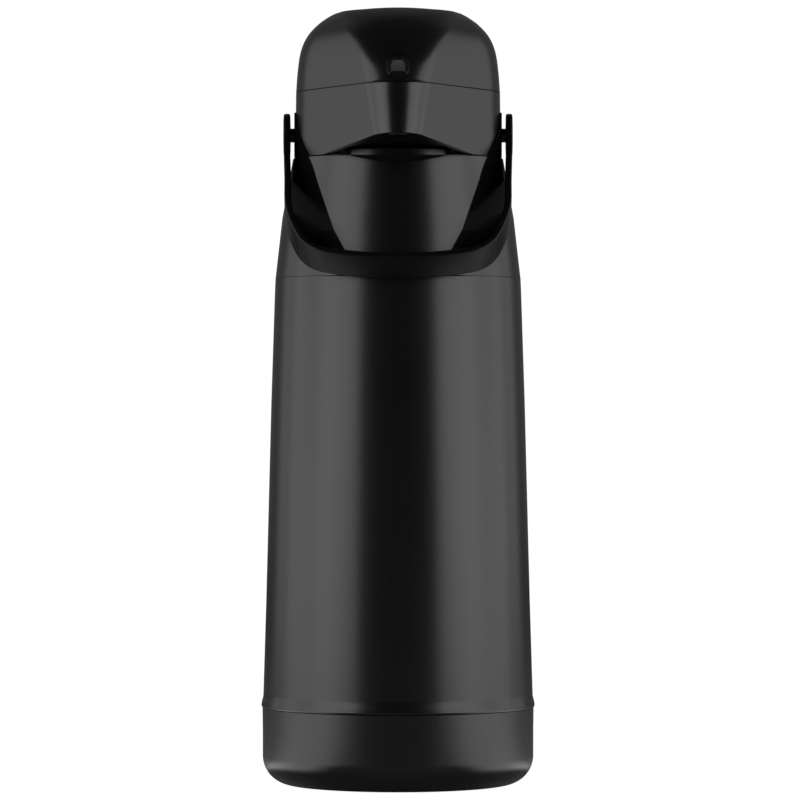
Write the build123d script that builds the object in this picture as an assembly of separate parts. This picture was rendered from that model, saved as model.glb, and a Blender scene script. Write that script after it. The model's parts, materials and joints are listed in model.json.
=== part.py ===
from build123d import *
from math import asin, cos, radians, sin, sqrt, tan
import os

# Pump airpot. Millimetres, +Z up, front towards -Y, origin on the body axis at the resting plane.

# Heights of the outer stack
BASE_TOP = 34.6
SEAM_GAP = 0.3
BEAD_HEIGHT = 38.0
COLLAR_SEAM = 246.0
COLLAR_TOP = 304.0
HEAD_GAP = 0.5
SPLIT = 336.2
SPLIT_GAP = 0.5
LID_TOP = 374.6
BUTTON_CROWN = 2.8

# Radii of the outer stack
BASE_RADIUS = 66.0
BASE_ROUNDING = 15.0
BEAD_RADIUS = 66.6
SHELL_WALL = 2.4
# Outer radius of the round body at a few heights above the bead
BODY_OUTLINE = [(65.6, 44.0), (64.2, 89.0), (61.7, 187.0), (59.8, 245.0), (56.4, 275.0), (51.2, COLLAR_TOP)]

# Feet
FOOT_RADIUS = 4.5
FOOT_CIRCLE = 50.0
FOOT_SINK = 2.0
REST_RING_INNER = 42.0

# Shield, the front apron of the collar, by half width and height of its side edges
SHIELD_EDGE = [
    (43.0, COLLAR_TOP + 1),
    (38.5, 290.6),
    (34.3, 277.2),
    (30.5, 268.1),
    (26.0, 259.8),
    (22.0, 252.0),
]
SHIELD_DIP_DEPTH = 3.6
SHIELD_DIP_HALF = 24.0
CHEEK_LEDGE_FRONT = 250.0
CHEEK_LEDGE_SIDE = 286.0
CHEEK_FAR = 80.0
CHEEK_WIDE = 140.0
COLLAR_BORE = 46.0
COLLAR_BORE_FOOT = 272.0
COLLAR_FOOT_BORE = 57.0
DECK_DROP = 4.0
DECK_THICKNESS = 3.0
UPSTAND_RADIUS = 44.5
UPSTAND_WALL = 2.5
RIB_PLACE = 26.3
RIB_WIDTH = 2.4
RIB_DEPTH = 7.0

# Pivot ears and bail
EAR_OUTER = 50.6
EAR_THICKNESS = 2.6
EAR_TOP = 326.6
EAR_TOP_HALF = 9.0
EAR_FOOT_HALF = 27.0
PIVOT_HEIGHT = 315.7
PIN_RADIUS = 3.4
PIN_RUNNING_FIT = 0.05
BAIL_INNER_HALF = 52.5
BAIL_THICKNESS = 3.2
BAIL_WIDTH = 14.5
BAIL_REACH = 94.0
BAIL_DROP = 44.0
BAIL_EYE_RADIUS = 10.6
BAIL_SHOULDER_TURN = 25.0
BAIL_SHOULDER_RADIUS = 75.0
BAIL_CORNER_TURN = 52.0
BAIL_CORNER_RADIUS = 18.0

# Head and lid sections: height, rear radius, reach of the nose, nose radius
HEAD_SECTIONS = [
    (300.0, 50.0, 89.5, 14.0),
    (314.0, 50.0, 89.0, 14.0),
    (SPLIT, 49.7, 84.5, 18.0),
]
LID_SECTIONS = [
    (SPLIT, 49.7, 84.5, 18.0),
    (347.0, 48.9, 77.5, 22.0),
    (356.5, 47.4, 68.0, 27.0),
    (363.5, 44.4, 59.0, 30.0),
    (369.0, 39.6, 50.5, 29.0),
    (372.6, 34.8, 43.5, 29.0),
    (LID_TOP, 31.2, 38.5, 28.5),
]
HEAD_WALL = 2.4
BEAK_RISE_START = 45.0
BEAK_RISE = 7.2
FLOOR_RECESS = 2.6
FLOOR_THICKNESS = 2.0

# Flask, neck and mouth
FLASK_OUTER = 54.0
FLASK_INNER = 50.0
GLASS = 1.6
FLASK_BOTTOM = 22.0
FLASK_SHOULDER = 226.0
FLASK_NECK_OUTER = 32.0
FLASK_NECK_INNER = 28.4
FLASK_NECK_BASE = 264.0
FLASK_LIP = 288.0
FLASK_DOME = 0.32
FLASK_SPACE = 5.0
GASKET_THICKNESS = 2.0
CUSHION_OUTER = 34.0
CUSHION_INNER = 14.0
CUSHION_OVERLAP = 0.4
CUP_OUTER = 12.0
CUP_INNER = 9.5
LINER_FLOOR = 4.5
MOUTH_RADIUS = 26.5
MOUTH_RING_OUTER = 34.0
MOUTH_RING_TOP = 327.0

# Way of the drink
TUBE_RADIUS = 4.0
TUBE_WALL = 1.0
TUBE_PLACE = 19.5
TUBE_FOOT = 32.0
POUR_HEIGHT = 318.0
ELBOW_RADIUS = 6.0
ELBOW_TOP = 324.0
NOZZLE_PLACE = 74.0
NOZZLE_RADIUS = 6.5
NOZZLE_BORE = 3.6
NOZZLE_FOOT = 307.5
NOZZLE_ABOVE = 5.5
NOZZLE_STEP = 4.4
SEAL_WALL = 1.2
SEAL_LENGTH = 3.0

# Lid hinge
HINGE_BACK = 54.2
HINGE_KNUCKLE = 4.0
HINGE_PIN_RADIUS = 1.8
HINGE_HALF = 20.0
HINGE_LID_HALF = 9.0
HINGE_SIDE_GAP = 0.4
HINGE_WEB_HEIGHT = 9.0
HINGE_WEB_BEHIND = 1.5
LID_WEB_REACH = 3.5
HEAD_WEB_REACH = 5.5

# Pump
LID_FLOOR_THICKNESS = 2.4
BUTTON_RADIUS = 30.4
BUTTON_GAP = 0.4
BUTTON_SKIRT = 7.0
BUTTON_WALL = 2.2
WELL_DEPTH = 22.0
WELL_WALL = 1.8
PLUNGER_TOP = 366.0
PLUNGER_THICKNESS = 2.4
STEM_RADIUS = 6.0
BELLOWS_OUTER = 26.0
BELLOWS_DEPTH = 3.2
BELLOWS_WALL = 1.0
BELLOWS_FOLDS = 5
SPRING_RADIUS = 12.0
SPRING_WIRE = 0.9
SPRING_CURLS = 7
AIR_HOLE = 3.0
VALVE_LIP = 3.0
VALVE_THICKNESS = 1.4
SEAT_DROP = 4.5
SCREW_RADIUS = 2.6
SCREW_HEIGHT = 2.0
SCREW_CIRCLE = 36.0

# Thumb latch
LATCH_HALF = 5.4
LATCH_HEIGHT = 13.5
LATCH_DEPTH = 5.0
LATCH_GAP = 0.35
LATCH_TRAVEL = 2.5
LATCH_SCOOP = 13.0
LATCH_SCOOP_AHEAD = 9.5
LATCH_SCOOP_HEIGHT = 5.0
TONGUE_DROP = 6.0
TONGUE_THICKNESS = 2.0
TONGUE_RISE = 5.0
LEAF_THICKNESS = 0.8
LEAF_HEIGHT = 8.0


def body_radius(height):
    """Outer radius of the round body at a height, between its listed points."""
    for (r0, z0), (r1, z1) in zip(BODY_OUTLINE, BODY_OUTLINE[1:]):
        if height <= z1:
            return r0 + (r1 - r0) * (height - z0) / (z1 - z0)
    return BODY_OUTLINE[-1][0]


def ring(outer, inner, low, high):
    """A plain ring about the body axis."""
    height = high - low
    disc = Pos(0, 0, low + height / 2) * Cylinder(outer, height)
    return disc - Pos(0, 0, low + height / 2) * Cylinder(inner, height + 1)


def revolved(points):
    """A solid of revolution from radius and height pairs."""
    outline = Polyline(*[(r, 0, z) for r, z in points], close=True)
    return revolve(make_face(outline), Axis.Z)


def body_line(low, high):
    """Points of the body outline between two heights."""
    heights = [low] + [z for _, z in BODY_OUTLINE if low < z < high] + [high]
    return [(body_radius(z), z) for z in heights]


def section(height, rear, reach, nose, inset=0.0):
    """One closed plan section: a round rear, two straight flanks and a round nose."""
    rear_r = rear - inset
    nose_r = nose - inset
    centre = reach - nose
    tilt = asin((rear - nose) / centre)
    side = cos(tilt)
    front = sin(tilt)
    left = (-rear_r * side, -rear_r * front)
    right = (rear_r * side, -rear_r * front)
    nose_right = (nose_r * side, -centre - nose_r * front)
    nose_left = (-nose_r * side, -centre - nose_r * front)
    edges = [
        ThreePointArc(left, (0, rear_r), right),
        Line(right, nose_right),
        ThreePointArc(nose_right, (0, -centre - nose_r), nose_left),
        Line(nose_left, left),
    ]
    return Pos(0, 0, height) * make_face(edges)


def section_loft(sections, inset=0.0):
    """A smooth body through plan sections."""
    return loft([section(*values, inset) for values in sections])


def side_prism(points, half=200.0):
    """A prism across the full width from reach and height pairs seen from the side."""
    outline = Polyline(*[(0, -reach, z) for reach, z in points], close=True)
    return extrude(make_face(outline), half, both=True, dir=(1, 0, 0))


def beak_line(raise_by):
    """The rising lower edge of the beak, as reach and height pairs."""
    low = COLLAR_TOP + HEAD_GAP + raise_by
    reach = HEAD_SECTIONS[0][2] + 10
    steps = 5
    line = [(-80.0, low)]
    for step in range(steps + 1):
        share = step / steps
        line.append((BEAK_RISE_START + share * (reach - BEAK_RISE_START), low + BEAK_RISE * share**1.5))
    return line


def above_beak_line(raise_by):
    """Everything above the beak's lower edge."""
    return side_prism(beak_line(raise_by) + [(200.0, 500.0), (-80.0, 500.0)])


def make_base_cup():
    """Base cup: a thin-walled cup with a large bottom rounding and an annular rest."""
    outer = Pos(0, 0, BASE_TOP / 2) * Cylinder(BASE_RADIUS, BASE_TOP)
    outer = fillet(outer.edges().group_by(Axis.Z)[0], BASE_ROUNDING)
    cavity_height = BASE_TOP - SHELL_WALL
    cavity = Cylinder(BASE_RADIUS - SHELL_WALL, cavity_height)
    cavity = Pos(0, 0, SHELL_WALL + 2 + cavity_height / 2) * cavity
    cavity = fillet(cavity.edges().group_by(Axis.Z)[0], BASE_ROUNDING - SHELL_WALL)
    recess = Cylinder(REST_RING_INNER, 2 * FOOT_SINK)
    return outer - cavity - recess - foot_cylinders()


def foot_cylinders():
    """The four foot pads, or the pockets that they sit in."""
    pad = Pos(0, 0, FOOT_SINK / 2) * Cylinder(FOOT_RADIUS, FOOT_SINK)
    return [Rot(0, 0, 45 + 90 * turn) * Pos(FOOT_CIRCLE - FOOT_RADIUS, 0, 0) * pad for turn in range(4)]


def make_body_shell():
    """Body shell: an open tapered tube with a bead at its foot."""
    low = BASE_TOP + SEAM_GAP
    high = COLLAR_SEAM
    outside = [(BASE_RADIUS, low), (BEAD_RADIUS, BEAD_HEIGHT - 1.5), (BEAD_RADIUS, BEAD_HEIGHT)]
    outside += [(BODY_OUTLINE[0][0] - 0.1, BEAD_HEIGHT + 3)] + body_line(BODY_OUTLINE[0][1], high)
    inside = [(r - SHELL_WALL, z) for r, z in reversed(body_line(BODY_OUTLINE[0][1], high))]
    inside += [(BASE_RADIUS - SHELL_WALL, low)]
    return revolved(outside + inside)


def cheek_cutter(side):
    """The flat side facet between shield and ear, cut parallel to the flank of the head."""
    _, rear, reach, nose = HEAD_SECTIONS[0]
    tilt = asin((rear - nose) / (reach - nose))
    edge = []
    for half, z in SHIELD_EDGE:
        depth = sqrt(body_radius(min(z, COLLAR_TOP)) ** 2 - half**2)
        edge.append((side * (half - (CHEEK_FAR - depth) * tan(tilt)), -CHEEK_FAR, z))
    top = edge[0][2]
    foot = edge[-1][2]
    wide = side * CHEEK_WIDE
    outline = Polyline(*edge, (wide, -CHEEK_FAR, foot), (wide, -CHEEK_FAR, top), close=True)
    prism = extrude(make_face(outline), 2 * CHEEK_FAR, dir=(side * sin(tilt), cos(tilt), 0))
    ledge = [(0.0, CHEEK_LEDGE_SIDE), (BODY_OUTLINE[3][0] - 8, CHEEK_LEDGE_FRONT), (200, CHEEK_LEDGE_FRONT)]
    return prism & side_prism(ledge + [(200, 400), (0.0, 400)])


def ear_outline(grow=0.0):
    """The tongue of an ear seen from the side, as a prism across the width."""
    points = [
        (EAR_FOOT_HALF + grow, COLLAR_TOP - DECK_THICKNESS),
        (EAR_FOOT_HALF + grow, COLLAR_TOP),
        (EAR_TOP_HALF + grow, EAR_TOP - 5 + grow),
        (EAR_TOP_HALF - 4 + grow, EAR_TOP + grow),
    ]
    mirrored = [(-reach, z) for reach, z in reversed(points)]
    return side_prism(points + mirrored)


def make_collar():
    """Collar: round wall with shield, side facets, deck, upstand, ribs and pivot ears."""
    low = COLLAR_SEAM + SEAM_GAP
    bore = [(COLLAR_BORE, COLLAR_TOP), (COLLAR_BORE, COLLAR_BORE_FOOT), (COLLAR_FOOT_BORE, low)]
    wall = revolved(body_line(low, COLLAR_TOP) + bore)
    deck_low = COLLAR_TOP - DECK_DROP - DECK_THICKNESS
    deck = ring(COLLAR_BORE + 0.5, MOUTH_RING_OUTER + 0.1, deck_low, deck_low + DECK_THICKNESS)
    upstand_top = COLLAR_TOP + HEAD_GAP + FLOOR_RECESS - 0.1
    upstand = ring(UPSTAND_RADIUS, UPSTAND_RADIUS - UPSTAND_WALL, deck_low + 1, upstand_top)
    ears = ring(EAR_OUTER, EAR_OUTER - EAR_THICKNESS, COLLAR_TOP - DECK_THICKNESS, EAR_TOP + 1) & ear_outline()
    solid = wall + deck + upstand
    solid += ears
    rib_low = deck_low + DECK_THICKNESS - 1
    rib_height = upstand_top - 0.3 - rib_low
    for side in (-1, 1):
        place = Pos(side * RIB_PLACE, -UPSTAND_RADIUS + 8, rib_low + rib_height / 2)
        solid += place * Box(RIB_WIDTH, RIB_DEPTH, rib_height)
    solid = solid - cheek_cutter(1) - cheek_cutter(-1)
    solid -= side_dip()
    solid -= pin_cylinder(PIN_RADIUS, EAR_OUTER - 6, EAR_OUTER + 4)
    return solid


def side_dip():
    """The shallow dip in the top edge of the shield."""
    top = COLLAR_TOP + 1
    arc = ThreePointArc(
        (-SHIELD_DIP_HALF, -70, COLLAR_TOP),
        (0, -70, COLLAR_TOP - SHIELD_DIP_DEPTH),
        (SHIELD_DIP_HALF, -70, COLLAR_TOP),
    )
    lid_line = Polyline((SHIELD_DIP_HALF, -70, COLLAR_TOP), (SHIELD_DIP_HALF, -70, top),
                        (-SHIELD_DIP_HALF, -70, top), (-SHIELD_DIP_HALF, -70, COLLAR_TOP))
    return extrude(make_face([arc, lid_line]), 24, dir=(0, 1, 0))


def pin_cylinder(radius, start, end):
    """Two cylinders across the ears, one each side, along the bail's pivot."""
    length = end - start
    pins = []
    for side in (-1, 1):
        pins.append(Pos(side * (start + length / 2), 0, PIVOT_HEIGHT) * Rot(0, 90, 0) * Cylinder(radius, length))
    return pins


def bail_plane():
    """The plane of the bail at rest: X across, Y from the pivot towards the grip."""
    drop = radians(BAIL_DROP)
    return Plane(origin=(0, 0, PIVOT_HEIGHT), x_dir=(1, 0, 0), z_dir=(0, sin(drop), -cos(drop)))


def bail_path():
    """Centre line of the bail's right half: arm, shoulder arc, corner arc and crown arc."""
    half = BAIL_INNER_HALF + BAIL_THICKNESS / 2
    first = radians(BAIL_SHOULDER_TURN)
    second = radians(BAIL_SHOULDER_TURN + BAIL_CORNER_TURN)
    shoulder_in = BAIL_SHOULDER_RADIUS * (1 - cos(first))
    shoulder_on = BAIL_SHOULDER_RADIUS * sin(first)
    corner_in = BAIL_CORNER_RADIUS * (cos(first) - cos(second))
    corner_on = BAIL_CORNER_RADIUS * (sin(second) - sin(first))
    crown_half = half - shoulder_in - corner_in
    crown_on = crown_half / cos(second) * (1 - sin(second))
    start = BAIL_REACH - shoulder_on - corner_on - crown_on
    arm = Line((half, 0), (half, start))
    shoulder = JernArc((half, start), (0, 1), BAIL_SHOULDER_RADIUS, BAIL_SHOULDER_TURN)
    corner = JernArc(shoulder @ 1, shoulder % 1, BAIL_CORNER_RADIUS, BAIL_CORNER_TURN)
    crown_turn = 90 - BAIL_SHOULDER_TURN - BAIL_CORNER_TURN
    crown = JernArc(corner @ 1, corner % 1, crown_half / cos(second), crown_turn)
    return [arm, shoulder, corner, crown]


def make_bail():
    """Bail: a flat strap bent in one plane, with round eyes that turn on the pivot pins."""
    half_strap = trace(bail_path(), BAIL_THICKNESS)
    strap = extrude(half_strap, BAIL_WIDTH / 2, both=True)
    strap += mirror(strap, Plane.YZ)
    strap = fillet(strap.edges().filter_by(lambda e: e.length > 40 and e.geom_type == GeomType.CIRCLE), 0.6)
    bail = bail_plane().location * strap
    bail += pin_cylinder(BAIL_EYE_RADIUS, BAIL_INNER_HALF, BAIL_INNER_HALF + BAIL_THICKNESS)
    bail -= pin_cylinder(PIN_RADIUS + PIN_RUNNING_FIT, BAIL_INNER_HALF - 1, BAIL_INNER_HALF + BAIL_THICKNESS + 1)
    return bail


def make_pivot_pins():
    """Two short pins pressed into the ears."""
    return pin_cylinder(PIN_RADIUS, EAR_OUTER - EAR_THICKNESS + 0.4, BAIL_INNER_HALF + BAIL_THICKNESS)


def knuckles(low, high, side_list):
    """Hinge knuckles with a web to the wall in front of them, between two X places."""
    solids = []
    width = high - low
    for side in side_list:
        centre = side * (low + width / 2)
        solids.append(Pos(centre, HINGE_BACK, SPLIT) * Rot(0, 90, 0) * Cylinder(HINGE_KNUCKLE, width))
    return solids


def hinge_web(low, high, up, side_list):
    """Webs that carry the knuckles from the wall, above or below the split."""
    solids = []
    width = high - low
    depth = HINGE_KNUCKLE + (LID_WEB_REACH if up else HEAD_WEB_REACH)
    offset = SPLIT_GAP + HINGE_WEB_HEIGHT / 2
    if not up:
        offset = -offset
    web_y = HINGE_BACK - depth / 2 + HINGE_WEB_BEHIND
    for side in side_list:
        centre = side * (low + width / 2)
        solids.append(Pos(centre, web_y, SPLIT + offset) * Box(width, depth, HINGE_WEB_HEIGHT))
    return solids


def hinge_bore(radius):
    """The long bore of the lid hinge."""
    return Pos(0, HINGE_BACK, SPLIT) * Rot(0, 90, 0) * Cylinder(radius, 2 * HINGE_HALF + 4)


def make_head_shell():
    """Head shell: the hollow beak-shaped wall with its recessed floor and hinge knuckles."""
    outer = section_loft(HEAD_SECTIONS) & above_beak_line(0.0)
    inner = section_loft(HEAD_SECTIONS, HEAD_WALL)
    trim = Pos(0, 0, SPLIT + 50) * Box(300, 300, 100)
    floor = inner & above_beak_line(FLOOR_RECESS)
    floor = floor - above_beak_line(FLOOR_RECESS + FLOOR_THICKNESS)
    shell = (outer - inner) + floor - trim
    shell += knuckles(HINGE_LID_HALF + HINGE_SIDE_GAP, HINGE_HALF, (-1, 1))
    shell += hinge_web(HINGE_LID_HALF + HINGE_SIDE_GAP, HINGE_HALF, False, (-1, 1))
    shell -= hinge_bore(HINGE_PIN_RADIUS)
    shell -= Pos(0, 0, COLLAR_TOP + 5) * Cylinder(MOUTH_RING_OUTER + 0.2, 20)
    shell -= Pos(0, -NOZZLE_PLACE, COLLAR_TOP + 8) * Cylinder(NOZZLE_RADIUS - 1, 20)
    ear_room = ring(EAR_OUTER + 3, EAR_OUTER - EAR_THICKNESS - 0.1, COLLAR_TOP - 4, EAR_TOP + 1)
    return shell - (ear_room & ear_outline(0.1))


def make_hinge_pin():
    """The lid's hinge pin."""
    return Pos(0, HINGE_BACK, SPLIT) * Rot(0, 90, 0) * Cylinder(HINGE_PIN_RADIUS, 2 * HINGE_HALF)


def flask_profile(radius, neck, bottom, lip):
    """Radius and height pairs of one flask wall's outer face, from the bottom centre up to the lip."""
    dome = radius * FLASK_DOME
    points = [(0.0, bottom)]
    for step in range(1, 6):
        angle = radians(18 * step)
        points.append((radius * sin(angle), bottom + dome * (1 - cos(angle))))
    points.append((radius, FLASK_SHOULDER))
    for step in range(1, 6):
        share = step / 5
        swing = radians(90 * share)
        rise = (FLASK_NECK_BASE - FLASK_SHOULDER) * sin(swing)
        points.append((neck + (radius - neck) * cos(swing), FLASK_SHOULDER + rise))
    points.append((neck, lip))
    return points


def make_flask_wall(radius, neck, bottom):
    """One wall of the glass flask."""
    outside = flask_profile(radius, neck, bottom, FLASK_LIP)
    inside = flask_profile(radius - GLASS, neck - GLASS, bottom + GLASS, FLASK_LIP)
    return revolved(outside + list(reversed(inside)))


def make_neck_ring():
    """Neck ring: the filling mouth, with a flange on the collar's deck and the pour tube's port."""
    low = FLASK_LIP + GASKET_THICKNESS
    deck = COLLAR_TOP - DECK_DROP
    body = ring(MOUTH_RING_OUTER, MOUTH_RADIUS, low, MOUTH_RING_TOP)
    flange = ring(MOUTH_RING_OUTER + 5, MOUTH_RADIUS + 1, deck, deck + 2)
    port = Pos(0, -MOUTH_RING_OUTER + 2, POUR_HEIGHT) * Rot(90, 0, 0) * Cylinder(TUBE_RADIUS + SEAL_WALL, 30)
    return body + flange - port


def make_dip_tube():
    """Dip tube from near the flask's bottom up into the elbow."""
    high = POUR_HEIGHT - ELBOW_RADIUS
    height = high - TUBE_FOOT
    tube = Cylinder(TUBE_RADIUS, height) - Cylinder(TUBE_RADIUS - TUBE_WALL, height + 1)
    return Pos(0, -TUBE_PLACE, TUBE_FOOT + height / 2) * tube


def make_pour_elbow():
    """Elbow that turns the drink from the dip tube into the pour tube."""
    low = POUR_HEIGHT - ELBOW_RADIUS
    height = ELBOW_TOP - low
    block = Pos(0, -TUBE_PLACE, low + height / 2) * Cylinder(ELBOW_RADIUS - 0.2, height)
    rise = Pos(0, -TUBE_PLACE, low + (POUR_HEIGHT - low) / 2) * Cylinder(TUBE_RADIUS - TUBE_WALL, POUR_HEIGHT - low)
    run = Pos(0, -TUBE_PLACE - 5, POUR_HEIGHT) * Rot(90, 0, 0) * Cylinder(TUBE_RADIUS - TUBE_WALL, 10)
    return block - rise - run


def make_pour_tube():
    """Pour tube from the elbow to the nozzle, level inside the beak."""
    start = TUBE_PLACE + ELBOW_RADIUS
    end = NOZZLE_PLACE - NOZZLE_RADIUS
    length = end - start
    tube = Cylinder(TUBE_RADIUS, length) - Cylinder(TUBE_RADIUS - TUBE_WALL, length + 1)
    return Pos(0, -start - length / 2, POUR_HEIGHT) * Rot(90, 0, 0) * tube


def make_tube_seal():
    """Rubber ring between the pour tube and the port of the neck ring."""
    seal = Cylinder(TUBE_RADIUS + SEAL_WALL, SEAL_LENGTH) - Cylinder(TUBE_RADIUS, SEAL_LENGTH + 1)
    return Pos(0, -MOUTH_RADIUS - 4, POUR_HEIGHT) * Rot(90, 0, 0) * seal


def make_spout_nozzle():
    """Spout nozzle: turns the pour tube down through the floor of the beak."""
    top = POUR_HEIGHT + NOZZLE_ABOVE
    height = top - NOZZLE_FOOT
    upper_low = POUR_HEIGHT - NOZZLE_STEP
    body = Pos(0, -NOZZLE_PLACE, upper_low + (top - upper_low) / 2) * Cylinder(NOZZLE_RADIUS, top - upper_low)
    neck_height = upper_low - NOZZLE_FOOT
    body += Pos(0, -NOZZLE_PLACE, NOZZLE_FOOT + neck_height / 2) * Cylinder(NOZZLE_RADIUS - 1.2, neck_height)
    body -= Pos(0, -NOZZLE_PLACE, NOZZLE_FOOT + height / 2 - 4) * Cylinder(NOZZLE_BORE, height)
    port = Pos(0, -NOZZLE_PLACE + 5, POUR_HEIGHT) * Rot(90, 0, 0) * Cylinder(TUBE_RADIUS - TUBE_WALL, 10)
    return body - port


def lid_inside(low, high, inset):
    """The slab of the lid's inner space between two heights."""
    height = high - low
    slab = Pos(0, 0, low + height / 2) * Box(300, 300, height)
    return section_loft(LID_SECTIONS, inset) & slab


def latch_block(grow, low, high):
    """The block that the thumb latch fills at the nose of the lid."""
    reach = LID_SECTIONS[0][2]
    depth = LATCH_DEPTH + 14
    height = high - low
    place = Pos(0, -reach - 4 + depth / 2, low + height / 2)
    return place * Box(2 * (LATCH_HALF + grow), depth, height)


def make_lid_shell():
    """Lid shell: the domed hollow cover with the button well, the latch slot and its hinge knuckle."""
    low = SPLIT + SPLIT_GAP
    outer = section_loft(LID_SECTIONS)
    inner = section_loft(LID_SECTIONS, HEAD_WALL)
    roof = Pos(0, 0, LID_TOP + 50 - HEAD_WALL) * Box(300, 300, 100)
    shell = outer - (inner - roof)
    shell -= Pos(0, 0, low - 5) * Box(300, 300, 10)
    well_bore = BUTTON_RADIUS + BUTTON_GAP
    shell += ring(well_bore + WELL_WALL, well_bore, LID_TOP - WELL_DEPTH, LID_TOP - 1) & outer
    shell -= Pos(0, 0, LID_TOP) * Cylinder(well_bore, 2 * WELL_DEPTH)
    shell -= latch_block(LATCH_GAP, low - 1, low + LATCH_HEIGHT + LATCH_GAP)
    shell += knuckles(-HINGE_LID_HALF, HINGE_LID_HALF, (1,))
    shell += hinge_web(-HINGE_LID_HALF, HINGE_LID_HALF, True, (1,))
    return shell - hinge_bore(HINGE_PIN_RADIUS + PIN_RUNNING_FIT)


def make_lid_floor():
    """Floor of the lid that closes the mouth and carries the pump."""
    low = SPLIT - SEAT_DROP
    plate = lid_inside(SPLIT + SPLIT_GAP + 0.2, SPLIT + SPLIT_GAP + LID_FLOOR_THICKNESS, HEAD_WALL + 0.2)
    plate -= latch_block(LATCH_GAP + 0.5, SPLIT - 1, SPLIT + 20)
    seat = ring(MOUTH_RING_OUTER, AIR_HOLE + 4, low, SPLIT + SPLIT_GAP + 0.3)
    return plate + seat - Pos(0, 0, SPLIT) * Cylinder(AIR_HOLE, 20)


def make_lid_gasket():
    """Rubber ring under the lid's floor, just above the mouth's rim."""
    return ring(MOUTH_RING_OUTER - 1, MOUTH_RADIUS + 1, MOUTH_RING_TOP + 0.4, SPLIT - SEAT_DROP)


def make_air_valve():
    """Soft flap in the floor's air hole."""
    middle = SPLIT - SEAT_DROP - VALVE_THICKNESS / 2
    return Pos(0, 0, middle) * Cylinder(AIR_HOLE + VALVE_LIP, VALVE_THICKNESS)


def bellows_floor():
    """Height of the surface that carries bellows and spring."""
    return SPLIT + SPLIT_GAP + LID_FLOOR_THICKNESS


def plunger_foot():
    """Height of the plunger's underside."""
    return PLUNGER_TOP - PLUNGER_THICKNESS


def make_bellows():
    """Bellows: a folded rubber tube between the lid's floor and the plunger."""
    low = bellows_floor()
    pitch = (plunger_foot() - low) / BELLOWS_FOLDS
    outside = [(BELLOWS_OUTER - BELLOWS_DEPTH, low)]
    for fold in range(BELLOWS_FOLDS):
        outside.append((BELLOWS_OUTER, low + (fold + 0.5) * pitch))
        outside.append((BELLOWS_OUTER - BELLOWS_DEPTH, low + (fold + 1) * pitch))
    inside = [(r - BELLOWS_WALL, z) for r, z in reversed(outside)]
    return revolved(outside + inside)


def make_return_spring():
    """Return spring: one unbroken helix inside the bellows."""
    low = bellows_floor() + SPRING_WIRE
    height = plunger_foot() - SPRING_WIRE - low
    pitch = height / SPRING_CURLS
    print("return spring least gap", round(pitch - 2 * SPRING_WIRE, 2))
    line = Helix(pitch, height, SPRING_RADIUS)
    wire = sweep(Plane(origin=line @ 0, z_dir=line % 0) * Circle(SPRING_WIRE), path=line)
    return Pos(0, 0, low) * wire


def make_plunger():
    """Plunger: the disc on the bellows with a stem that carries the button."""
    disc_radius = BUTTON_RADIUS - BUTTON_WALL - 0.6
    disc = Pos(0, 0, PLUNGER_TOP - PLUNGER_THICKNESS / 2) * Cylinder(disc_radius, PLUNGER_THICKNESS)
    stem_top = LID_TOP - 0.4
    stem = Pos(0, 0, (PLUNGER_TOP + stem_top) / 2) * Cylinder(STEM_RADIUS, stem_top - PLUNGER_TOP)
    return disc + stem


def make_push_button():
    """Push button: a slightly crowned round cap with a skirt, turning on the plunger's stem."""
    foot = LID_TOP - BUTTON_SKIRT
    edge = LID_TOP + 0.2
    crown = edge + BUTTON_CROWN
    ball = (BUTTON_RADIUS**2 + BUTTON_CROWN**2) / (2 * BUTTON_CROWN)
    drum = Pos(0, 0, (foot + crown) / 2) * Cylinder(BUTTON_RADIUS, crown - foot)
    cap = drum & (Pos(0, 0, crown - ball) * Sphere(ball))
    cap -= Pos(0, 0, LID_TOP - 20.1) * Cylinder(BUTTON_RADIUS - BUTTON_WALL, 40)
    sleeve = ring(STEM_RADIUS + 2, STEM_RADIUS + PIN_RUNNING_FIT, foot + 0.5, LID_TOP + 0.3)
    return cap + sleeve


def make_latch():
    """Thumb latch: a scooped key in the lid's nose with a tongue behind the head's wall."""
    low = SPLIT + SPLIT_GAP
    high = low + LATCH_HEIGHT
    key = section_loft(LID_SECTIONS, 0.4) & latch_block(0.0, low, high)
    back = Pos(0, -LID_SECTIONS[0][2] + LATCH_DEPTH + 50, low) * Box(60, 100, 80)
    key -= back
    scoop = Pos(0, -LID_SECTIONS[0][2] - LATCH_SCOOP_AHEAD, low + LATCH_SCOOP_HEIGHT) * Sphere(LATCH_SCOOP)
    key -= scoop
    reach = LID_SECTIONS[0][2] - HEAD_WALL
    tongue_high = low + TONGUE_RISE
    tongue_low = SPLIT - TONGUE_DROP
    tall = tongue_high - tongue_low
    tongue = Pos(0, -reach + 2.6, tongue_low + tall / 2) * Box(2 * LATCH_HALF - 2, TONGUE_THICKNESS, tall)
    return key + tongue


def make_latch_spring():
    """Leaf that pushes the thumb latch forward, set on the lid's floor."""
    low = bellows_floor()
    place = -LID_SECTIONS[0][2] + LATCH_DEPTH + LATCH_TRAVEL + 4.0
    return Pos(0, place, low + LEAF_HEIGHT / 2) * Box(2 * LATCH_HALF, LEAF_THICKNESS, LEAF_HEIGHT)


def make_lid_screws():
    """Three screws that hold the lid's floor."""
    screw = Pos(0, SCREW_CIRCLE, bellows_floor() + SCREW_HEIGHT / 2) * Cylinder(SCREW_RADIUS, SCREW_HEIGHT)
    return [Rot(0, 0, turn) * screw for turn in (-55, 55, 0)]


def make_liner_cushion():
    """Rubber cushion between base cup and flask."""
    return ring(CUSHION_OUTER, CUSHION_INNER, LINER_FLOOR, FLASK_BOTTOM + CUSHION_OVERLAP)


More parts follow.
